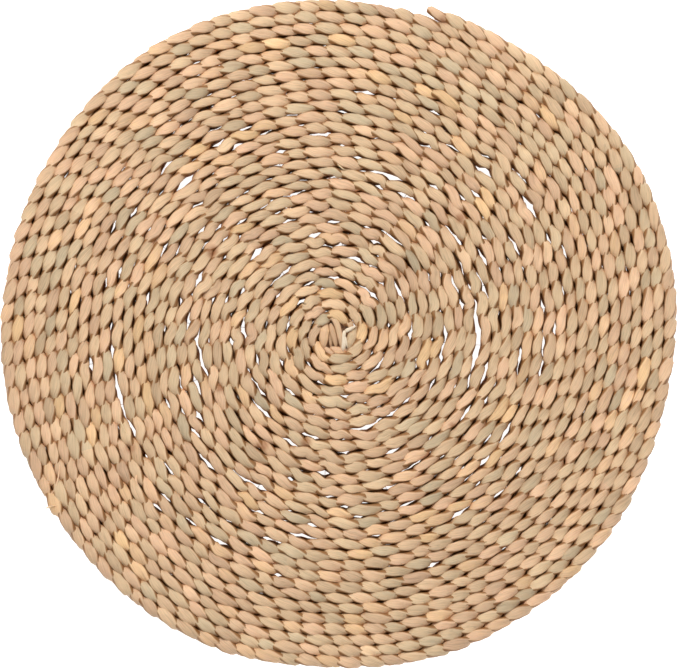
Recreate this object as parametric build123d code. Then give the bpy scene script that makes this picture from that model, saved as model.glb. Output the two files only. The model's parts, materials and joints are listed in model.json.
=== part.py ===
from build123d import *
import math
import os

# Round seat pad: one three-strand plait of dried leaf, stood on edge, coiled from the eye
# outward and sewn turn to turn. +Z is up, the pad rests on Z = 0, and all lengths are in mm.

# ---- plait and coil ----
COIL_PITCH = 6.2            # from one turn of the plait to the next
PLAIT_THICKNESS = 5.9       # across the plait, a little less than the pitch
PLAIT_DEPTH = 15.0          # the plait's broad side stands upright: this is the pad's thickness
PLAIT_ROUNDING = 2.2        # of the plait's upper and lower edges
START_RADIUS = 2.8          # radius that the spiral would have at zero turns
FIRST_TURN = 1.05           # turns from the eye where the coil proper begins
LAST_TURN = 30.2067         # the plait ends at 74.4 degrees, counted from +X
EYE = Vector(-1.664, -0.053)  # the eye of the coil, a little off the middle of the outline

# ---- the outline isn't a true circle: (azimuth in degrees, height, spread in degrees) ----
RIM_WAVES = [
    (121, 4.4, 17),
    (215, -1.4, 25),
    (268, -2.8, 9),
    (346, -1.9, 12),
    (27, 2.8, 14),
    (60, -1.6, 10),
]
RIM_RADIUS = 187.0          # the rim waves have their full height here
RIM_WAVES_START = 0.45      # and are gone inside this share of it
CORE_WAVES = [
    (95, 0.9, 18),
    (235, 1.5, 45),
]
CORE_RADIUS = 30.0          # the core waves fade out over this radius

# ---- the arcs that make up the spiral ----
ARC_STEPS_WAVY = 12         # steps a turn where the waves are felt, two arcs in each step
ARC_STEPS_PLAIN = 6         # steps a turn where the coil is a plain spiral
PLAIN_FROM_TURN = 6
PLAIN_TO_TURN = 13
SHORTEST_STEP = 0.3         # a last step shorter than this share of one joins the step before

# ---- strands and leaves ----
LEAVES_PER_STRAND = 14
STRAND_SHIFTS = {"strand_a": 0.0, "strand_b": -0.35, "strand_c": -0.65}  # staggers splices

# ---- the folded start, in the eye: places are counted from the eye ----
START_LEAVES = {            # x, y, length, width, lean in degrees, height
    "start_leaf_left": (-5.9, -1.2, 15.4, 5.2, 84, 14.9),
    "start_leaf_middle": (-1.6, -0.6, 12.6, 3.4, 101, 13.8),
    "start_leaf_right": (9.0, -3.2, 12.6, 4.6, 66, 14.8),
    "start_leaf_foot": (-2.2, -9.9, 7.0, 2.6, -30, 13.2),
}
START_LEAF_CHAMFER = 0.9
FOLDED_LEAF_FOOT = (3.6, -7.3)
FOLDED_LEAF_BEND = (1.2, 5.4)
FOLDED_LEAF_TIP = (-3.1, 8.0)
FOLDED_LEAF_THICKNESS = 3.0
FOLDED_LEAF_HEIGHT = 14.6
FOLDED_LEAF_ROUNDING = 0.9
PITH_ROUTE = [(11.4, 4.3), (5.6, 1.8), (5.6, -8.6)]
PITH_THICKNESS = 1.3
PITH_HEIGHT = 9.0
PITH_BOTTOM = 5.0

# ---- sewing thread, which passes between the strands at two heights ----
THREAD_DIAMETER = 0.3
SEAM_HEIGHTS = (5.0, 10.0)
THREAD_OUTER_TURN = 29.6
THREAD_ROWS = {             # turns from the eye where the rows begin, rows, first azimuth
    "sewing_thread_long_rows": (2.0, 8, -4.3),
    "sewing_thread_middle_rows": (8.0, 8, 18.2),
    "sewing_thread_rim_rows": (16.0, 16, 6.95),
}


# ---------------------------------------------------------------- the spiral
def wave(azimuth, waves):
    """Sum of the smooth bumps at one azimuth."""
    total = 0.0
    for centre, height, spread in waves:
        away = (azimuth - centre + 180) % 360 - 180
        total += height * math.exp(-0.5 * (away / spread) ** 2)
    return total


def coil_radius(turn):
    """Distance of the plait's middle from the eye, at a number of turns from the eye."""
    plain = START_RADIUS + COIL_PITCH * turn
    azimuth = 360 * (turn % 1)
    reach = max(0.0, (plain / RIM_RADIUS - RIM_WAVES_START) / (1 - RIM_WAVES_START))
    rim = reach ** 1.5 * wave(azimuth, RIM_WAVES)
    core = math.exp(-((plain / CORE_RADIUS) ** 2)) * wave(azimuth, CORE_WAVES)
    return plain + rim + core


def coil_point(turn):
    angle = 2 * math.pi * turn
    return EYE + Vector(math.cos(angle), math.sin(angle)) * coil_radius(turn)


def coil_tangent(turn):
    return (coil_point(turn + 1e-5) - coil_point(turn - 1e-5)).normalized()


def step_arcs(turn_a, turn_b):
    """Two arcs, tangent to each other and to the spiral at both ends."""
    start, end = coil_point(turn_a), coil_point(turn_b)
    way_in, way_out = coil_tangent(turn_a), coil_tangent(turn_b)
    chord = end - start
    both = way_in + way_out
    bend = 2 * (1 - way_in.dot(way_out))
    along = chord.dot(both)
    reach = (math.sqrt(along ** 2 + bend * chord.dot(chord)) - along) / bend
    middle = (start + end + (way_in - way_out) * reach) * 0.5
    first = Edge.make_tangent_arc(start, way_in, middle)
    second = Edge.make_tangent_arc(middle, first % 1, end)
    return [first, second]


def step_ends():
    """The turn counts where the arc steps meet, from the eye outward."""
    ends = [FIRST_TURN]
    while ends[-1] < LAST_TURN - 1e-6:
        plain = PLAIN_FROM_TURN < ends[-1] < PLAIN_TO_TURN
        steps = ARC_STEPS_PLAIN if plain else ARC_STEPS_WAVY
        following = ends[-1] + 1 / steps
        if LAST_TURN - following < SHORTEST_STEP / steps:
            following = LAST_TURN
        ends.append(following)
    return ends


STEP_ENDS = step_ends()
STEPS = [step_arcs(a, b) for a, b in zip(STEP_ENDS, STEP_ENDS[1:])]
STEP_LENGTHS = [sum(arc.length for arc in arcs) for arcs in STEPS]
PLAIT_LENGTH = sum(STEP_LENGTHS)


# ---------------------------------------------------------------- the three strands
def strand_sections():
    """The plait's standing section, shared out among its strands: upper, middle, lower."""
    plait = Pos(0, PLAIT_DEPTH / 2) * RectangleRounded(PLAIT_THICKNESS, PLAIT_DEPTH, PLAIT_ROUNDING)
    gap = THREAD_DIAMETER / 2
    lower_seam, upper_seam = SEAM_HEIGHTS
    bands = {
        "strand_a": (upper_seam + gap, PLAIT_DEPTH),
        "strand_b": (lower_seam + gap, upper_seam - gap),
        "strand_c": (0, lower_seam - gap),
    }
    sections = {}
    for strand, (low, high) in bands.items():
        band = Rectangle(2 * PLAIT_THICKNESS, high - low)
        sections[strand] = plait & (Pos(0, (low + high) / 2) * band)
    return sections


def splice_steps(shift):
    """Step numbers where one leaf ends and the next one is spliced in."""
    splices = [0]
    walked = 0.0
    leaf = PLAIT_LENGTH / LEAVES_PER_STRAND
    for number, length in enumerate(STEP_LENGTHS):
        walked += length
        due = (len(splices) + shift) * leaf
        if walked >= due - length / 2 and len(splices) < LEAVES_PER_STRAND:
            splices.append(number + 1)
    splices.append(len(STEPS))
    return splices


def leaf_solid(section, first_step, last_step):
    """One leaf's stretch of a strand, swept along its arcs."""
    arcs = [arc for arcs in STEPS[first_step:last_step] for arc in arcs]
    start = arcs[0] @ 0
    along = arcs[0] % 0
    inward = Vector(-along.Y, along.X)
    plane = Plane(origin=start, x_dir=inward, z_dir=along)
    leaf = sweep(plane * section, path=Wire(arcs))
    return leaf


# ---------------------------------------------------------------- the folded start
def leaf_lozenge(x, y, length, width, lean, height):
    """A leaf that lies in the eye: pointed at both ends, flat below, rounded above."""
    bulge = width / 2
    tip = length / 2
    side = ThreePointArc((-tip, 0), (0, bulge), (tip, 0))
    other = ThreePointArc((tip, 0), (0, -bulge), (-tip, 0))
    outline = make_face([side, other])
    body = extrude(outline, amount=height)
    crown = body.faces().sort_by(Axis.Z)[-1]
    body = chamfer(crown.edges(), length=min(START_LEAF_CHAMFER, width / 4))
    return Pos(EYE.X + x, EYE.Y + y) * Rot(0, 0, lean) * body


def folded_leaf():
    """The leaf that comes up in the eye, turns over at the top and goes down again."""
    path = Line(FOLDED_LEAF_FOOT, FOLDED_LEAF_BEND)
    bend = TangentArc(FOLDED_LEAF_BEND, FOLDED_LEAF_TIP, tangent=path % 1)
    route = Wire([Pos(EYE) * path, Pos(EYE) * bend])
    along = route % 0
    plane = Plane(origin=route @ 0, x_dir=Vector(-along.Y, along.X), z_dir=along)
    outline = RectangleRounded(FOLDED_LEAF_THICKNESS, FOLDED_LEAF_HEIGHT, FOLDED_LEAF_ROUNDING)
    section = Pos(0, FOLDED_LEAF_HEIGHT / 2) * outline
    return sweep(plane * section, path=route)


def pith_strip():
    """A torn strip of pale pith, bent like a seven, standing between the start leaves."""
    outline = trace(Pos(EYE) * Polyline(*PITH_ROUTE), line_width=PITH_THICKNESS)
    return Pos(0, 0, PITH_BOTTOM) * extrude(outline, amount=PITH_HEIGHT)


def start_pieces():
    pieces = {name: leaf_lozenge(*values) for name, values in START_LEAVES.items()}
    pieces["start_leaf_folded_over"] = folded_leaf()
    pieces["start_pith_strip"] = pith_strip()
    return pieces


# ---------------------------------------------------------------- the sewing thread
def thread_rows(start_turn, count, first_azimuth):
    """Straight stitch rows from one turn out to the rim, at both heights."""
    rows = []
    for number in range(count):
        azimuth = (first_azimuth + 360 * number / count) % 360
        share = azimuth / 360
        inner = coil_radius(math.floor(start_turn) + share)
        outer = coil_radius(math.floor(THREAD_OUTER_TURN - share) + share)
        row = Cylinder(THREAD_DIAMETER / 2, outer - inner, align=(Align.CENTER, Align.CENTER, Align.MIN))
        for height in SEAM_HEIGHTS:
            rows.append(Pos(EYE) * Rot(0, 0, azimuth) * Pos(inner, 0, height) * Rot(0, 90, 0) * row)
    return Compound(children=[piece for row in rows for piece in row.solids()])


# ---------------------------------------------------------------- write the parts
def main():
    os.makedirs("parts", exist_ok=True)
    parts = {}
    sections = strand_sections()
    for strand, shift in STRAND_SHIFTS.items():
        splices = splice_steps(shift)
        for number, (first, last) in enumerate(zip(splices, splices[1:]), start=1):
            parts[f"{strand}_leaf_{number:02d}"] = leaf_solid(sections[strand], first, last)
    parts.update(start_pieces())
    for name, values in THREAD_ROWS.items():
        parts[name] = thread_rows(*values)
    for name, solid in parts.items():
        export_step(solid, f"parts/{name}.step")
    box = Compound(children=[s for p in parts.values() for s in p.solids()]).bounding_box()
    print("nodes", len(parts), "plait length", round(PLAIT_LENGTH), "box", box.min, box.max)


main()
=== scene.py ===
import json
import math

import bpy
import numpy as np
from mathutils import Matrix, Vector


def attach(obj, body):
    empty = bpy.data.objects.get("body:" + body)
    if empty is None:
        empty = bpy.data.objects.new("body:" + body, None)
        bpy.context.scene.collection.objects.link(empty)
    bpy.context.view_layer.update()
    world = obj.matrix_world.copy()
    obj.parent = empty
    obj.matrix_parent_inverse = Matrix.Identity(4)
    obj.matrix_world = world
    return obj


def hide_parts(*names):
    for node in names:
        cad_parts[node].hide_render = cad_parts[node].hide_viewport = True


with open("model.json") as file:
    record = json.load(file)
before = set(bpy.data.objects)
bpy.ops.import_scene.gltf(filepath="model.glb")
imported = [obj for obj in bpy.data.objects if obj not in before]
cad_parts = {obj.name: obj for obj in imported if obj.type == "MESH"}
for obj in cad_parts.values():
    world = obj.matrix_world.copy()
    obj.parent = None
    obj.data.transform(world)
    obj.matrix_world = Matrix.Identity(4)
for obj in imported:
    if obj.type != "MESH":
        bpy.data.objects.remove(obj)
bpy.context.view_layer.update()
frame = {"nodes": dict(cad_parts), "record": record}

# A flat round seat pad: one three-strand plait of dried leaf, stood on edge, coiled outward
# anticlockwise from a folded start and sewn turn to turn. Lengths are in metres.
# The coil follows the same formula as the CAD solids, whose values are repeated here.
MM = 0.001
TAU = 2 * math.pi
ROUTE_STEP = 0.5 * MM       # between the points that describe the plait's route
SPIRAL_POINTS = 60000       # from which that route is measured out

# ---- coil ----
PITCH = 6.2 * MM
START_RADIUS = 2.8 * MM
FIRST_TURN = 1.05
LAST_TURN = 30.2067
EYE = np.array([-1.664, -0.053]) * MM
RIM_WAVES = [  # azimuth in degrees, height in mm, spread in degrees
    (121, 4.4, 17),
    (215, -1.4, 25),
    (268, -2.8, 9),
    (346, -1.9, 12),
    (27, 2.8, 14),
    (60, -1.6, 10),
]
RIM_RADIUS = 187 * MM
RIM_WAVES_START = 0.45
CORE_WAVES = [
    (95, 0.9, 18),
    (235, 1.5, 45),
]
CORE_RADIUS = 30 * MM
ZONES = np.array([0, 35, 110, 150, 190]) * MM  # eye, middle from and to, halfway, rim

# ---- plait ----
PLAIT_DEPTH = 15.0 * MM     # the plait's broad side stands upright
PERIOD_EYE = 32 * MM        # length of plait in which a strand comes back to the same edge
PERIOD_MIDDLE = 40.5 * MM
PERIOD_RIM = 36 * MM
HALF_WIDTH_EYE = 3.0 * MM   # half the plait's thickness, crown to crown
HALF_WIDTH_MIDDLE = 3.1 * MM
HALF_WIDTH_RIM = 3.4 * MM
SWING = 0.23                # how far a strand swings to each side, as a share of the half width
SWING_SQUARE = 0.36         # how late the swing comes, so that a face stays straight
TURNS_LATE = 0.25           # how long a strand's face stays level before it turns, in radians
WAIST = 0.12                # how much narrower a strand is where it leaves the edge
RISE_FLATNESS = 2.9         # how long a strand stays up at the edge before it dives
STRAND_THIN_MIDDLE = 1.86 * MM  # half the thickness of a strand, which is a flat bundle of leaf
STRAND_THIN_RIM = 2.02 * MM
STRAND_BROAD = 3.3 * MM     # half its breadth where it lies on the plait's broad side
ACROSS_SHARPNESS = 0.78     # below 1 a strand's section is fuller than an ellipse at its sides
OUTWARD_SHARPNESS = 0.46    # and flatter on its face
RIDGE_HEIGHT = 0.07         # of the fold line along a face, as a share of the half thickness
LEAVES = 14
LEAF_OVERLAP = 7 * MM       # that a leaf runs on past a splice, getting thinner
LAST_LEAF_CLOSES = 2.5 * MM  # the blunt outer end closes over this length
STRAND_SHIFTS = {"a": 0.0, "b": -0.35, "c": -0.65}
CUT_SHORT = {"a": 0.0, "b": 5 * MM, "c": 9 * MM}  # the other strands end before strand a
LAST_CROWN = 6.5 * MM       # strand a lies uppermost this far before the plait's end
END_NARROWS = (9 * MM, 16 * MM)  # before the plait's end, where the strands get narrower
END_FULLNESS = 0.78

# ---- unevenness: spreads of random values, most of them one value for each face ----
WANDER = (0.06 * MM, 0.14 * MM, 0.15 * MM)  # of the whole plait, at the eye, middle and rim
WANDER_SPACING = 40 * MM
PERIOD_SPREAD = 0.09
PERIOD_SPACING = 60 * MM
JITTER = 0.36               # of the crossings along the plait, in radians
JITTER_SPACING = 14 * MM
FULLNESS_SPREAD = 0.10
LIFT_SPREAD = 0.50          # mm up or down
ASIDE_SPREAD = 0.26         # mm in or out
THIN_SPREAD = 0.08
LEAN_SPREAD = 0.22
RIDGE_SPREAD = 0.35
TINT_SPREAD = 0.5
UNREST = (0.3, 1.0, 1.0)    # the eye is neater than the rest
CALM = (0.7, 1.0, 1.0)      # and its strands swing less
SHADE_DRIFT = (0.7, 95 * MM)  # slow changes along a strand: how strong, over what length
TINT_DRIFT = (0.9, 80 * MM)

# ---- slits: (azimuth, distance from the eye in mm, half length in degrees, width in mm) ----
SLITS = [
    (6, 81.0, 13, 1.1),
    (28, 80.0, 9, 0.7),
    (16, 87.4, 4, 1.1),
    (352, 80.6, 8, 1.2),
    (347, 87.4, 5, 1.2),
    (6, 94.6, 4, 0.7),
    (27, 93.3, 5, 1.0),
    (40, 86.7, 7, 0.9),
    (72, 94.4, 7, 0.8),
    (63, 87.2, 4, 0.8),
    (350, 62.0, 10, 0.9),
    (0, 44.0, 6, 0.9),
    (34, 44.0, 9, 0.8),
    (74, 45.7, 7, 1.0),
    (91, 52.2, 10, 0.9),
    (130, 46.6, 13, 1.1),
    (112, 70.5, 5, 0.8),
    (134, 64.6, 4, 0.9),
    (170, 52.5, 9, 0.9),
    (187, 76.7, 9, 0.8),
    (200, 83.2, 7, 0.8),
    (198, 90.4, 5, 0.9),
    (232, 43.6, 7, 1.0),
    (210, 54.1, 7, 0.8),
    (293, 56.2, 10, 0.9),
    (287, 49.6, 5, 0.9),
    (301, 86.1, 4, 0.9),
    (330, 87.0, 4, 0.8),
    (175, 83.0, 5, 0.8),
    (107, 82.0, 5, 0.7),
    (245, 107.5, 4, 0.8),
    (25, 112.5, 4, 0.8),
    (7, 114.9, 3, 0.9),
    (195, 125.8, 4, 1.2),
    (184, 124.9, 2, 0.8),
    (135, 119.8, 3, 0.8),
    (136, 27.6, 5, 1.0),
    (229, 23.1, 7, 1.0),
    (333, 24.3, 5, 0.8),
    (49, 30.5, 6, 0.9),
    (106, 26.5, 4, 0.9),
]
SLIT_REACH = 2.2            # turns over which the plait gives way beside a slit
SLIT_SLACK = 1.30           # mm that neighbouring turns are pressed together elsewhere
SLACK_GROWS = (22, 50)      # mm from the eye, between which the slack grows to its full value
SLACK_AT_EYE = 0.3
STAINS = [                  # reddish brown marks: azimuth, distance from the eye and reach in mm
    (254.6, 62.9, 4.0),
    (249, 66.5, 2.5),
    (205, 72.6, 3.0),
    (236.6, 75.3, 4.5),
    (146, 84.0, 4.5),
    (43, 96.0, 3.5),
    (71, 187.5, 3.5),
    (322, 84.0, 3.0),
    (209, 132.0, 3.5),
]
CHINKS = 250                # smaller openings, scattered at random over the inner three quarters
CHINK_DISTANCES = (26, 140)  # mm from the eye
CHINK_WIDTHS = (0.2, 0.82)  # mm
CHINK_HALF_LENGTHS = (3, 7)  # degrees at CHINK_SCALE_DISTANCE, and fewer further out
CHINK_SCALE_DISTANCE = 22   # mm

RING_STEP = 1.3 * MM
random = np.random.default_rng(7)


# ---------------------------------------------------------------- helpers
def smooth_noise(length, spacing):
    """A seeded curve along the plait, about -1 to 1, that turns over every spacing metres."""
    knots = int(length / spacing) + 4
    values = random.normal(0, 0.5, knots)
    fine = np.arange(0, length + 8 * ROUTE_STEP, ROUTE_STEP)
    place = fine / spacing
    base = np.floor(place).astype(int)
    share = place - base
    share = share * share * (3 - 2 * share)
    return fine, values[base] * (1 - share) + values[base + 1] * share


def waves(azimuth, table):
    total = np.zeros_like(azimuth)
    for centre, height, spread in table:
        away = (azimuth - centre + 180) % 360 - 180
        total += height * MM * np.exp(-0.5 * (away / spread) ** 2)
    return total


def coil_radius(turn):
    plain = START_RADIUS + PITCH * turn
    azimuth = 360 * (turn % 1)
    reach = np.maximum(0, (plain / RIM_RADIUS - RIM_WAVES_START) / (1 - RIM_WAVES_START))
    rim = reach ** 1.5 * waves(azimuth, RIM_WAVES)
    core = np.exp(-((plain / CORE_RADIUS) ** 2)) * waves(azimuth, CORE_WAVES)
    return plain + rim + core


def chinks():
    """Small openings in the same form as the slits."""
    found = []
    for _ in range(CHINKS):
        distance = random.uniform(*CHINK_DISTANCES)
        half_length = random.uniform(*CHINK_HALF_LENGTHS) * CHINK_SCALE_DISTANCE / distance + 1.0
        found.append((random.uniform(0, 360), distance, half_length, random.uniform(*CHINK_WIDTHS)))
    return found


def slit_push(turn):
    """How far the plait is pushed out or in beside each slit."""
    push = np.zeros_like(turn)
    azimuth = 360 * (turn % 1)
    for centre, distance, half_length, width in SLITS + chinks():
        nearest = (distance * MM - START_RADIUS) / PITCH - centre / 360
        between = math.floor(nearest) + 0.5 + centre / 360
        away = (azimuth - centre + 180) % 360 - 180
        turns_off = turn - between - away / 360
        fade = np.exp(-np.maximum(0, abs(turns_off) - 0.5) / SLIT_REACH)
        fade *= np.exp(-0.5 * (away / (0.7 * half_length)) ** 2)
        slack = SLIT_SLACK * np.interp(distance, SLACK_GROWS, [SLACK_AT_EYE, 1])
        push += np.sign(turns_off) * 0.5 * (width + slack) * MM * fade
    return push


# ---------------------------------------------------------------- the plait's route
def plait_route():
    """Points along the plait's middle, one route step apart, with its outward side."""
    turn = np.linspace(FIRST_TURN, LAST_TURN, SPIRAL_POINTS)
    radius = coil_radius(turn) + slit_push(turn)
    angle = TAU * turn
    x = EYE[0] + radius * np.cos(angle)
    y = EYE[1] + radius * np.sin(angle)
    walked = np.concatenate([[0], np.cumsum(np.hypot(np.diff(x), np.diff(y)))])
    along = np.arange(0, walked[-1], ROUTE_STEP)
    turn = np.interp(along, walked, turn)
    x = np.interp(along, walked, x)
    y = np.interp(along, walked, y)
    place, wander = smooth_noise(along[-1], WANDER_SPACING)
    wander = by_radius(turn, *WANDER) * np.interp(along, place, wander)
    way_x, way_y = np.gradient(x), np.gradient(y)
    size = np.hypot(way_x, way_y)
    side_x, side_y = way_y / size, -way_x / size
    x += side_x * wander
    y += side_y * wander
    return {
        "along": along,
        "turn": turn,
        "x": x,
        "y": y,
        "side_x": side_x,
        "side_y": side_y,
        "length": along[-1],
    }


def by_radius(turn, at_eye, at_middle, at_rim):
    distance = START_RADIUS + PITCH * turn
    values = [at_eye, at_middle, at_middle, 0.5 * (at_middle + at_rim), at_rim]
    return np.interp(distance, ZONES, values)


def plait_phase(route):
    """How far the strands have gone through the plait's pattern, in radians."""
    period = by_radius(route["turn"], PERIOD_EYE, PERIOD_MIDDLE, PERIOD_RIM)
    place, noise = smooth_noise(route["length"], PERIOD_SPACING)
    period = period * (1 + PERIOD_SPREAD * np.interp(route["along"], place, noise))
    place, noise = smooth_noise(route["length"], JITTER_SPACING)
    jitter = JITTER * np.interp(route["along"], place, noise)
    phase = np.cumsum(TAU * ROUTE_STEP / period) + jitter
    return phase - np.interp(route["length"] - LAST_CROWN, route["along"], phase)


# ---------------------------------------------------------------- strands
AROUND = 18                 # points in one ring
TIP_RINGS = (0.05, 0.3, 0.8)  # mm from a leaf's end, where the rings lie closer
FACES = 1400                # more than the times that a strand comes up or down
DEPTH_SHADE_BELOW = 0.84         # share of the half depth under which a face starts to darken with painted shade
DEPTH_SHADE_OVER = 0.50          # share of it over which the dark comes in
OPEN_SIDE = (LAST_TURN - 1 - 2 / 30, LAST_TURN - 1 - 1 / 30)  # where the pad's bare side comes in, which gets no painted shade


def face_noise(seed, number, spread):
    """One steady random value for each time that a strand comes to the top or the bottom."""
    faces = np.floor(number).astype(int) + FACES
    return np.random.default_rng(seed).normal(0, spread, FACES + 9)[faces]


def blended_noise(seed, number, spread):
    """Random values for each face, blended smoothly from one face to the next."""
    share = number - np.floor(number)
    share = share * share * (3 - 2 * share)
    return face_noise(seed, number, spread) * (1 - share) + face_noise(seed, number + 1, spread) * share


def unit(vectors):
    return vectors / np.linalg.norm(vectors, axis=-1, keepdims=True)


def strand_rings(route, phase, strand_number, start, end, opens, closes):
    """Rings of points round one leaf's stretch of a strand, with what its look needs.

    The work is done along the straightened plait: first axis along it, second outward,
    third up. The rings are then laid on the coil."""
    tips = np.array(TIP_RINGS) * MM
    inner = np.arange(start + 2 * tips[-1], end - 2 * tips[-1], RING_STEP)
    along = np.concatenate([start + tips, inner, end - tips[::-1]])
    turn = np.interp(along, route["along"], route["turn"])
    half_width = by_radius(turn, HALF_WIDTH_EYE, HALF_WIDTH_MIDDLE, HALF_WIDTH_RIM)
    swung = np.interp(along, route["along"], phase) + strand_number * TAU / 3
    number = swung / math.pi + 0.5
    seed = 100 * strand_number
    fullness = 1 + blended_noise(seed + 1, number, FULLNESS_SPREAD)
    fullness *= np.interp(route["length"] - along, END_NARROWS, [END_FULLNESS, 1])
    lift = blended_noise(seed + 2, number, LIFT_SPREAD) * MM
    unrest = by_radius(turn, *UNREST)
    aside = unrest * blended_noise(seed + 4, number, ASIDE_SPREAD) * MM
    lean = 1 + unrest * blended_noise(seed + 6, number, LEAN_SPREAD)
    thin = by_radius(turn, STRAND_THIN_MIDDLE, STRAND_THIN_MIDDLE, STRAND_THIN_RIM)
    rise = PLAIT_DEPTH / 2 - thin
    upward = np.abs(np.cos(swung))
    climb = np.sign(np.cos(swung)) * (1 - (1 - upward) ** RISE_FLATNESS)
    late = SWING_SQUARE * unrest * np.sin(4 * swung)
    swing = SWING * by_radius(turn, *CALM) * lean * (np.sin(2 * swung) - late)
    axis = np.stack([
        along,
        half_width * swing + aside * upward,
        PLAIT_DEPTH / 2 + rise * climb + lift * upward,
    ], axis=1)
    way = unit(np.gradient(axis, along, axis=0))
    facing = swung - TURNS_LATE * np.sin(2 * swung)
    normal = np.stack([np.zeros_like(along), np.sin(facing), np.cos(facing)], axis=1)
    normal = unit(normal - way * np.sum(normal * way, axis=1, keepdims=True))
    broadside = np.cross(way, normal)
    edgewise = np.abs(np.cos(facing))
    broad = (half_width * edgewise + STRAND_BROAD * (1 - edgewise)) * fullness
    broad = broad * (1 - WAIST * np.sin(2 * swung) ** 2)
    thin = thin * (1 + blended_noise(seed + 3, number, THIN_SPREAD))
    taper = np.clip((along - start) / opens, 0, 1) * np.clip((end - along) / closes, 0, 1)
    taper = np.sqrt(np.clip(taper * (2 - taper), 0, 1))
    turned = np.linspace(0, TAU, AROUND, endpoint=False)[None, :]
    across = np.sign(np.cos(turned)) * np.abs(np.cos(turned)) ** ACROSS_SHARPNESS
    outward = np.sign(np.sin(turned)) * np.abs(np.sin(turned)) ** OUTWARD_SHARPNESS
    ridge = blended_noise(seed + 5, number, RIDGE_SPREAD)[:, None]
    outward = outward * (1 + RIDGE_HEIGHT * np.tanh((across - ridge) * 9))
    spot = (axis[:, None, :]
            + broadside[:, None, :] * (broad * taper)[:, None, None] * across[:, :, None]
            + normal[:, None, :] * (thin * taper)[:, None, None] * outward[:, :, None])
    height = np.clip(spot[:, :, 2], 0, None)
    out = spot[:, :, 1]
    laid_x, laid_y, side_x, side_y = (
        np.interp(spot[:, :, 0], route["along"], route[name]) for name in ("x", "y", "side_x", "side_y")
    )
    points = np.stack([laid_x + side_x * out, laid_y + side_y * out, height], axis=2)
    from_middle = np.abs(height - PLAIT_DEPTH / 2) / (PLAIT_DEPTH / 2)
    stain = np.zeros_like(height)
    for azimuth, distance, reach in STAINS:
        stain_x = EYE[0] + distance * MM * math.cos(math.radians(azimuth))
        stain_y = EYE[1] + distance * MM * math.sin(math.radians(azimuth))
        away = np.hypot(points[:, :, 0] - stain_x, points[:, :, 1] - stain_y)
        stain = np.maximum(stain, np.clip(1.6 - 1.6 * away / (reach * MM), 0, 1))
    outermost = np.interp(turn, OPEN_SIDE, [0, 1])[:, None] * (out > 0)
    numbers = np.repeat(number[:, None], AROUND, axis=1)
    return {
        "points": points,
        # painted shade: faces turn brown down in the plait, between the turns, but not on the pad's
        # bare outer side
        "depth_shade": np.clip((DEPTH_SHADE_BELOW - from_middle) / DEPTH_SHADE_OVER, 0, 1) * (1 - outermost),
        "shade": face_noise(seed + 7, numbers, TINT_SPREAD),
        "tint": face_noise(seed + 8, numbers, TINT_SPREAD),
        "stain": stain,
        "along": np.repeat(along[:, None], AROUND, axis=1),
        "around": np.repeat(across, len(along), axis=0),
    }


def rings_to_object(name, rings, values):
    """A closed tube through rings of points, carrying point attributes."""
    count, around = rings.shape[:2]
    here = np.arange(count - 1)[:, None] * around + np.arange(around)[None, :]
    nxt = np.arange(count - 1)[:, None] * around + (np.arange(around)[None, :] + 1) % around
    quads = np.stack([here, nxt, nxt + around, here + around], axis=2).reshape(-1, 4)
    faces = [tuple(quad) for quad in quads.tolist()]
    faces.append(tuple(range(around - 1, -1, -1)))
    faces.append(tuple(range((count - 1) * around, count * around)))
    mesh = bpy.data.meshes.new(name)
    mesh.from_pydata(rings.reshape(-1, 3).tolist(), [], faces)
    for label, data in values.items():
        attribute = mesh.attributes.new(label, "FLOAT", "POINT")
        attribute.data.foreach_set("value", data.reshape(-1).astype(np.float32))
    mesh.polygons.foreach_set("use_smooth", [True] * len(mesh.polygons))
    mesh.update()
    piece = bpy.data.objects.new(name, mesh)
    bpy.context.scene.collection.objects.link(piece)
    return piece


def build_strands(route, phase, materials, slots):
    leaf = route["length"] / LEAVES
    shade_drift, shade_spacing = SHADE_DRIFT
    tint_drift, tint_spacing = TINT_DRIFT
    for number, (letter, shift) in enumerate(STRAND_SHIFTS.items()):
        shade_place, shade_noise = smooth_noise(route["length"], shade_spacing)
        tint_place, tint_noise = smooth_noise(route["length"], tint_spacing)
        for index in range(LEAVES):
            first, last = index == 0, index == LEAVES - 1
            start = 0 if first else (index + shift) * leaf - LEAF_OVERLAP
            end = (index + 1 + shift) * leaf + LEAF_OVERLAP
            closes = LEAF_OVERLAP
            if last:
                end = route["length"] - CUT_SHORT[letter]
                closes = LAST_LEAF_CLOSES
            rings = strand_rings(route, phase, number, start, end, LEAF_OVERLAP, closes)
            shade = rings["shade"] + shade_drift * np.interp(rings["along"], shade_place, shade_noise)
            tint = rings["tint"] + tint_drift * np.interp(rings["along"], tint_place, tint_noise)
            values = {**rings, "shade": shade, "tint": tint}
            points = values.pop("points")
            node = f"strand_{letter}_leaf_{index + 1:02d}"
            piece = rings_to_object(f"leaf_{letter}_{index + 1:02d}", points, values)
            piece.data.materials.append(materials[slots[node]])
            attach(piece, "root")
            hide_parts(node)


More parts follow.
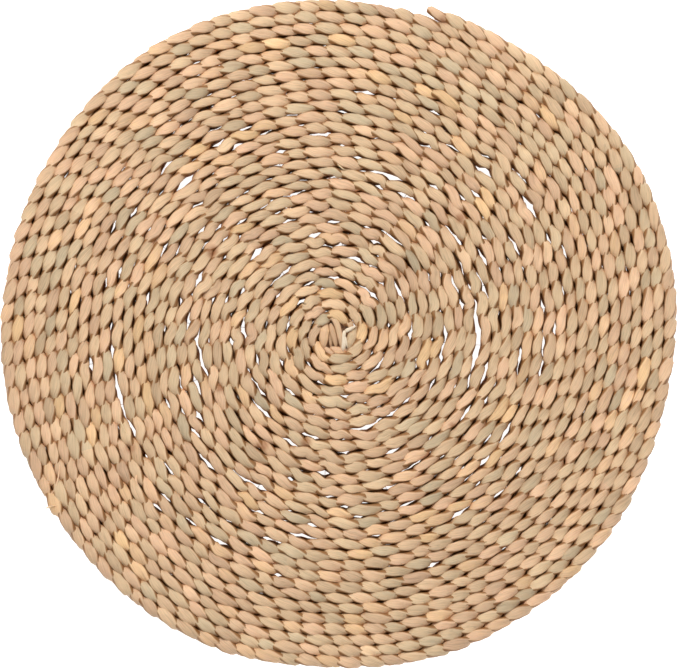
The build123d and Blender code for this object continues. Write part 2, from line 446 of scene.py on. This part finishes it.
# ---------------------------------------------------------------- materials
class Nodes:
    """Short ways to add and join shader nodes."""

    def __init__(self, material):
        material.use_nodes = True
        self.tree = material.node_tree
        self.tree.nodes.clear()
        self.shader = self.tree.nodes.new("ShaderNodeBsdfPrincipled")
        output = self.tree.nodes.new("ShaderNodeOutputMaterial")
        self.join(self.shader.outputs["BSDF"], output.inputs["Surface"])

    def join(self, source, target):
        self.tree.links.new(source, target)

    def attribute(self, name):
        node = self.tree.nodes.new("ShaderNodeAttribute")
        node.attribute_name = name
        return node.outputs["Fac"]

    def math(self, operation, first, second, third=None):
        node = self.tree.nodes.new("ShaderNodeMath")
        node.operation = operation
        for socket, value in zip(node.inputs, (first, second, third)):
            if value is None:
                continue
            if isinstance(value, (int, float)):
                socket.default_value = value
            else:
                self.join(value, socket)
        return node.outputs[0]

    def ramp(self, factor, stops):
        node = self.tree.nodes.new("ShaderNodeValToRGB")
        elements = node.color_ramp.elements
        while len(elements) < len(stops):
            elements.new(0.5)
        for element, (position, colour) in zip(elements, stops):
            element.position = position
            element.color = (*colour, 1)
        self.join(factor, node.inputs["Fac"])
        return node.outputs["Color"]

    def noise(self, vector, scale, detail=3.0, roughness=0.55):
        node = self.tree.nodes.new("ShaderNodeTexNoise")
        node.inputs["Scale"].default_value = scale
        node.inputs["Detail"].default_value = detail
        node.inputs["Roughness"].default_value = roughness
        self.join(vector, node.inputs["Vector"])
        return node.outputs["Fac"]

    def vector(self, x, y, z):
        node = self.tree.nodes.new("ShaderNodeCombineXYZ")
        for socket, value in zip(node.inputs, (x, y, z)):
            if isinstance(value, (int, float)):
                socket.default_value = value
            else:
                self.join(value, socket)
        return node.outputs[0]

    def mix(self, factor, first, second, blend="MIX"):
        node = self.tree.nodes.new("ShaderNodeMix")
        node.data_type = "RGBA"
        node.blend_type = blend
        given = {0: factor, 6: first, 7: second}
        for place, value in given.items():
            socket = node.inputs[place]
            if isinstance(value, (int, float)):
                socket.default_value = value
            elif isinstance(value, tuple):
                socket.default_value = (*value, 1)
            else:
                self.join(value, socket)
        return node.outputs[2]

    def bump(self, height, strength, distance, normal=None):
        node = self.tree.nodes.new("ShaderNodeBump")
        node.inputs["Strength"].default_value = strength
        node.inputs["Distance"].default_value = distance
        self.join(height, node.inputs["Height"])
        if normal is not None:
            self.join(normal, node.inputs["Normal"])
        return node.outputs["Normal"]


LEAF_TINTS = [  # from greyish green through tan to pinkish and golden
    (0.00, (0.600, 0.466, 0.298)),
    (0.30, (0.685, 0.492, 0.298)),
    (0.52, (0.720, 0.492, 0.298)),
    (0.75, (0.750, 0.480, 0.300)),
    (1.00, (0.790, 0.520, 0.275)),
]
STAIN_BROWN = (0.36, 0.145, 0.060)
# painted shade: the dark brown along each strand's edges, where neighbouring strands meet
EDGE_SHADE_BROWN = (0.24, 0.096, 0.020)
# painted shade: the brown that faces turn down in the plait, between the turns
DEPTH_SHADE_BROWN = (0.54, 0.175, 0.014)
SLOT_SHIFTS = {  # how each leaf material leans along the tints, and how bright it is
    "leaf_tan": (0.0, 1.0),
    "leaf_grey_green": (-0.20, 0.97),
    "leaf_pinkish": (0.17, 0.99),
    "leaf_golden": (0.24, 1.05),
    "leaf_brown": (0.12, 0.90),
}


def leaf_material(slot, shift, bright):
    """Dried leaf: long fine veins, fold lines, a colour for each face, stains, and painted shade: dark
    brown strand edges and brown faces down in the plait.
    """
    material = bpy.data.materials.new(slot)
    n = Nodes(material)
    along, around = n.attribute("along"), n.attribute("around")

    def streaks(along_scale, around_scale, offset, detail):
        scaled_along = n.math("MULTIPLY", along, along_scale)
        scaled_around = n.math("MULTIPLY", around, around_scale)
        return n.noise(n.vector(scaled_along, scaled_around, offset), 1.0, detail, 0.6)

    veins = streaks(75.0, 9.0, 0.0, 4.0)
    fibres = streaks(150.0, 32.0, 3.0, 2.0)
    blotches = streaks(150.0, 1.7, 7.0, 3.0)
    stains = streaks(46.0, 0.6, 17.0, 2.0)
    folds = n.math("ABSOLUTE", n.math("SUBTRACT", streaks(38.0, 2.6, 11.0, 1.0), 0.5), 0.0)
    fold_lines = n.ramp(folds, [(0.0, (1, 1, 1)), (0.035, (0, 0, 0))])

    tint = n.math("MULTIPLY_ADD", n.attribute("tint"), 0.30, 0.48 + shift)
    tint = n.math("ADD", tint, n.math("MULTIPLY_ADD", blotches, 0.40, -0.20))
    colour = n.ramp(tint, LEAF_TINTS)
    light = n.math("MULTIPLY_ADD", n.attribute("shade"), 0.12, bright)
    light = n.math("ADD", light, n.math("MULTIPLY_ADD", veins, 0.62, -0.31))
    light = n.math("ADD", light, n.math("MULTIPLY_ADD", fibres, 0.34, -0.17))
    light = n.math("SUBTRACT", light, n.math("MULTIPLY", fold_lines, 0.16))
    grey = n.tree.nodes.new("ShaderNodeCombineColor")
    for socket in grey.inputs:
        n.join(light, socket)
    colour = n.mix(1.0, colour, grey.outputs[0], "MULTIPLY")
    faint = n.ramp(stains, [(0.62, (0, 0, 0)), (0.78, (1, 1, 1))])
    colour = n.mix(n.math("MULTIPLY", faint, 0.35), colour, STAIN_BROWN)
    marked = n.math("MULTIPLY", n.attribute("stain"), n.math("MULTIPLY_ADD", blotches, 1.4, 0.05))
    colour = n.mix(marked, colour, STAIN_BROWN)
    # painted shade: the strand's edges turn dark brown, as in the shadow where strands meet
    rim = n.ramp(n.math("ABSOLUTE", around, 0.0), [(0.80, (0, 0, 0)), (0.97, (1, 1, 1))])
    colour = n.mix(n.math("MULTIPLY", rim, 0.88), colour, EDGE_SHADE_BROWN)
    # painted shade: down in the plait the colour turns brown and the sheen drops
    depth_shade_amount = n.math("MULTIPLY", n.attribute("depth_shade"), 0.9)
    colour = n.mix(depth_shade_amount, colour, DEPTH_SHADE_BROWN)
    n.join(colour, n.shader.inputs["Base Color"])
    n.join(n.math("MULTIPLY_ADD", veins, 0.25, 0.38), n.shader.inputs["Roughness"])
    n.join(n.math("MULTIPLY_ADD", depth_shade_amount, -0.36, 0.38), n.shader.inputs["Specular IOR Level"])
    n.shader.inputs["Subsurface Weight"].default_value = 0.12
    n.shader.inputs["Subsurface Radius"].default_value = (1.0, 0.6, 0.35)
    n.shader.inputs["Subsurface Scale"].default_value = 0.002
    normal = n.bump(veins, 0.8, 0.0005)
    normal = n.bump(fold_lines, -0.5, 0.0003, normal)
    n.join(n.bump(fibres, 0.5, 0.0002, normal), n.shader.inputs["Normal"])
    return material


def thread_material():
    """Fine waxed thread with the turn of its own plies."""
    material = bpy.data.materials.new("sewing_thread")
    n = Nodes(material)
    place = n.tree.nodes.new("ShaderNodeTexCoord").outputs["Object"]
    ply = n.noise(place, 2600.0, 2.0)
    colour = n.ramp(ply, [(0.35, (0.10, 0.08, 0.06)), (0.65, (0.28, 0.24, 0.18))])
    n.join(colour, n.shader.inputs["Base Color"])
    n.join(n.math("MULTIPLY_ADD", ply, 0.3, 0.4), n.shader.inputs["Roughness"])
    n.join(n.bump(ply, 0.5, 0.0001), n.shader.inputs["Normal"])
    return material


def pith_material():
    """Torn pale pith, matt, with long broken fibres."""
    material = bpy.data.materials.new("pith")
    n = Nodes(material)
    along, around = n.attribute("along"), n.attribute("around")
    fibres_at = n.vector(n.math("MULTIPLY", along, 160.0), n.math("MULTIPLY", around, 9.0), 0.0)
    fibres = n.noise(fibres_at, 1.6, 4.0, 0.65)
    colour = n.ramp(fibres, [
        (0.28, (0.62, 0.42, 0.25)),
        (0.48, (0.90, 0.75, 0.56)),
        (0.75, (0.96, 0.88, 0.74)),
    ])
    n.join(colour, n.shader.inputs["Base Color"])
    n.join(n.math("MULTIPLY_ADD", fibres, 0.25, 0.6), n.shader.inputs["Roughness"])
    n.join(n.bump(fibres, 0.8, 0.0004), n.shader.inputs["Normal"])
    return material


# ---------------------------------------------------------------- the start in the eye
BAR_STEPS = 40
BAR_AROUND = 24


def bar_rings(points, half_widths, tops, depth):
    """Rings round a short standing piece of leaf that follows points, with a rounded top."""
    points = np.array(points, float)
    knots = np.linspace(0, 1, len(points))
    fine = np.linspace(0, 1, BAR_STEPS)
    order = min(4, len(points) - 1)
    x = np.polyval(np.polyfit(knots, points[:, 0], order), fine)
    y = np.polyval(np.polyfit(knots, points[:, 1], order), fine)
    width = np.interp(fine, np.linspace(0, 1, len(half_widths)), half_widths)
    top = np.interp(fine, np.linspace(0, 1, len(tops)), tops)
    width = width * np.sqrt(np.clip(1 - np.abs(2 * fine - 1) ** 5, 0.01, 1))
    top = top - 1.2 * np.abs(2 * fine - 1) ** 6
    way_x, way_y = np.gradient(x), np.gradient(y)
    size = np.hypot(way_x, way_y)
    side_x, side_y = way_y / size, -way_x / size
    turned = np.linspace(0, TAU, BAR_AROUND, endpoint=False)[None, :]
    across = np.sign(np.cos(turned)) * np.abs(np.cos(turned)) ** 0.8
    upward = np.sin(turned)
    out = width[:, None] * across
    cap = np.minimum(0.8 * width, 0.45 * depth)[:, None]
    upper = top[:, None] - cap + cap * upward
    lower = np.maximum(top[:, None] - depth, 0) + cap + cap * upward
    rings = np.stack([
        EYE[0] + (x[:, None] + side_x[:, None] * out) * MM,
        EYE[1] + (y[:, None] + side_y[:, None] * out) * MM,
        np.where(upward >= 0, upper, lower) * MM,
    ], axis=2)
    walked = np.concatenate([[0], np.cumsum(np.hypot(np.diff(x), np.diff(y)))]) * MM
    along = np.repeat(walked[:, None], turned.shape[1], axis=1)
    around = np.repeat(across, len(fine), axis=0)
    # painted shade: the piece darkens down its sides, below its rounded top
    depth_shade = np.repeat(np.clip(0.9 - 3 * np.abs(upward), 0, 0.9), len(fine), axis=0)
    return rings, along, around, depth_shade


START_LEAVES = [  # node, slot, points in mm from the eye, half widths, tops, depth, shade, tint
    ("start_leaf_left", "leaf_pinkish",
     [(-6.6, -8.8), (-6.7, -3.0), (-6.1, 2.0), (-5.0, 7.0)],
     [1.2, 2.8, 3.0, 1.2], [12.8, 14.6, 14.9, 13.4], 14.8, 0.3, 0.7),
    ("start_leaf_middle", "leaf_brown",
     [(0.4, -7.4), (-0.7, -2.0), (-1.9, 2.5), (-2.9, 6.4)],
     [1.2, 1.8, 1.8, 1.0], [12.4, 13.6, 14.0, 13.2], 13.5, -0.1, 0.8),
    ("start_leaf_middle", "leaf_brown",
     [(-2.4, -7.6), (-3.1, -2.4), (-3.7, 2.6), (-3.9, 6.6)],
     [1.0, 1.2, 1.1, 0.8], [11.6, 12.6, 12.8, 12.2], 12.0, -0.6, 0.9),
    ("start_leaf_folded_over", "leaf_tan",
     [(3.7, -8.4), (2.8, -2.4), (1.4, 3.6), (0.0, 7.6), (-2.2, 9.4), (-5.0, 7.8)],
     [1.3, 1.7, 1.8, 1.9, 1.8, 1.0], [12.8, 14.4, 14.9, 15.0, 14.8, 13.8], 14.6, 0.3, 0.3),
    ("start_leaf_right", "leaf_grey_green",
     [(7.2, -8.8), (8.2, -5.0), (9.8, 0.0), (12.4, 5.4)],
     [1.0, 2.7, 2.9, 1.2], [13.0, 14.8, 14.9, 13.4], 14.6, -0.1, 0.2),
    ("start_leaf_foot", "leaf_pinkish",
     [(-6.2, -6.8), (-4.2, -9.2), (-0.4, -11.6)],
     [0.8, 1.7, 1.0], [12.4, 13.6, 12.8], 13.0, 0.5, 0.2),
    ("start_leaf_foot", "leaf_golden",
     [(-3.0, -7.2), (1.5, -9.0), (7.2, -8.8)],
     [1.3, 2.1, 1.4], [11.8, 12.8, 12.4], 12.4, 0.4, 0.2),
    ("start_leaf_foot", "leaf_golden",
     [(-1.6, -9.6), (2.4, -10.6), (6.6, -10.9)],
     [0.6, 1.3, 0.7], [12.4, 13.6, 13.0], 4.0, 0.7, 0.4),
    ("start_leaf_foot", "leaf_brown",
     [(1.0, -11.0), (0.6, -4.0), (0.2, 3.0), (0.0, 9.5)],
     [5.0, 8.0, 8.0, 5.0], [9.0, 9.0, 9.0, 9.6], 3.5, 0.2, 0.8),
]
PITH_ARMS = [  # points in mm from the eye, half widths, tops, depth
    ([(11.7, 4.7), (8.4, 3.1), (5.2, 1.5)], [0.4, 1.0, 1.2], [15.6, 15.8, 15.4], 1.6),
    ([(5.3, 2.2), (4.7, -1.5), (4.7, -5.0), (4.0, -9.4)],
     [1.2, 1.0, 1.2, 1.5], [15.4, 15.0, 14.6, 13.8], 7.0),
    ([(5.6, -1.0), (6.0, -4.5), (6.8, -7.6)], [0.5, 0.6, 0.3], [14.8, 14.8, 14.0], 2.0),
]
STRAY_FIBRES = [  # node, points in mm from the eye, of torn leaf fibres that lie on the pad
    ("strand_b_leaf_13", [(-159.8, -89.9), (-156.6, -82.3), (-155.4, -72.3)]),
    ("strand_c_leaf_13", [(-157.0, -96.6), (-160.5, -97.0), (-163.6, -98.4)]),
    ("strand_a_leaf_07", [(-122.2, -45.4), (-119.4, -53.0), (-114.8, -61.2)]),
    ("strand_b_leaf_07", [(-112.0, -78.7), (-112.4, -82.0), (-111.2, -86.0)]),
    ("strand_c_leaf_04", [(5.5, 92.5), (2.2, 95.0), (-0.6, 99.0)]),
    ("strand_a_leaf_10", [(98.0, 122.0), (101.0, 118.5), (102.0, 113.5)]),
]
FIBRE_FORM = ([0.3, 0.45, 0.25], [15.3, 15.8, 15.5], 0.7)  # half widths, tops and depth in mm
FIBRE_SHADE = 2.5           # paler than any face


def build_stray_fibres(materials, slots):
    for number, (node, points) in enumerate(STRAY_FIBRES, start=1):
        rings, along, around, _ = bar_rings(points, *FIBRE_FORM)
        values = {
            "shade": np.full_like(along, FIBRE_SHADE),
            "along": along,
            "around": 0.5 * around,
        }
        piece = rings_to_object(f"stray_fibre_{number}", rings, values)
        piece.data.materials.append(materials[slots[node]])
        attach(piece, "root")
        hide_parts(node)


def build_start(materials):
    for number, start_leaf in enumerate(START_LEAVES, start=1):
        node, slot, points, half_widths, tops, depth, shade, tint = start_leaf
        rings, along, around, depth_shade = bar_rings(points, half_widths, tops, depth)
        values = {
            "depth_shade": depth_shade,
            "shade": np.full_like(along, shade),
            "tint": np.full_like(along, tint),
            "along": along,
            "around": around,
        }
        piece = rings_to_object(f"{node}_{number}", rings, values)
        piece.data.materials.append(materials[slot])
        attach(piece, "root")
        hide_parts(node)
    for number, (points, half_widths, tops, depth) in enumerate(PITH_ARMS, start=1):
        rings, along, around, _ = bar_rings(points, half_widths, tops, depth)
        piece = rings_to_object(f"pith_strip_{number}", rings, {"along": along, "around": around})
        piece.data.materials.append(materials["pith"])
        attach(piece, "root")
        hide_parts("start_pith_strip")


# ---------------------------------------------------------------- stage, light and camera
def build_stage():
    bpy.ops.mesh.primitive_plane_add(size=8, location=(0, 0, -0.0002))
    floor = bpy.context.object
    floor.name = "floor"
    material = bpy.data.materials.new("floor_white")
    n = Nodes(material)
    n.shader.inputs["Base Color"].default_value = (0.5, 0.5, 0.5, 1)
    n.shader.inputs["Roughness"].default_value = 0.9
    n.shader.inputs["Specular IOR Level"].default_value = 0.0
    n.shader.inputs["Emission Color"].default_value = (1, 1, 1, 1)
    n.shader.inputs["Emission Strength"].default_value = 1.0
    floor.data.materials.append(material)


def area_light(name, place, size, power, colour):
    data = bpy.data.lights.new(name, "AREA")
    data.size = size
    data.energy = power
    data.color = colour
    light = bpy.data.objects.new(name, data)
    light.location = place
    light.rotation_euler = (-Vector(place)).to_track_quat("-Z", "Y").to_euler()
    bpy.context.scene.collection.objects.link(light)


def build_lights():
    area_light("key", (-0.42, 1.36, 1.45), 0.9, 30.5, (1.0, 0.985, 0.96))
    area_light("fill", (1.2, -0.8, 1.8), 1.6, 9, (0.97, 0.985, 1.0))
    world = bpy.data.worlds.new("soft_room")
    world.use_nodes = True
    background = world.node_tree.nodes["Background"]
    background.inputs["Color"].default_value = (1.0, 1.0, 1.0, 1)
    background.inputs["Strength"].default_value = 0.55
    bpy.context.scene.world = world


FRAME_WIDTH = 382.6 * MM    # what the picture takes in from side to side at the pad's top
CAMERA_HEIGHT = 3.0


def build_camera():
    data = bpy.data.cameras.new("camera")
    data.sensor_width = 36
    data.lens = 36 * CAMERA_HEIGHT / FRAME_WIDTH
    data.clip_end = 50
    camera = bpy.data.objects.new("camera", data)
    camera.location = (0.6 * MM, -0.5 * MM, CAMERA_HEIGHT + PLAIT_DEPTH)
    bpy.context.scene.collection.objects.link(camera)
    bpy.context.scene.camera = camera
    bpy.context.scene.view_settings.view_transform = "Standard"


# ---------------------------------------------------------------- put together
slots = {part["node"]: part["material_slot"] for part in frame["record"]["subparts"]}
materials = {slot: leaf_material(slot, *values) for slot, values in SLOT_SHIFTS.items()}
materials["pith"] = pith_material()
materials["sewing_thread"] = thread_material()

route = plait_route()
phase = plait_phase(route)
build_strands(route, phase, materials, slots)
build_start(materials)
build_stray_fibres(materials, slots)
for node, slot in slots.items():
    if slot == "sewing_thread":
        thread = frame["nodes"][node]
        for held in thread.material_slots:
            held.material = materials[slot]
build_stage()
build_lights()
build_camera()
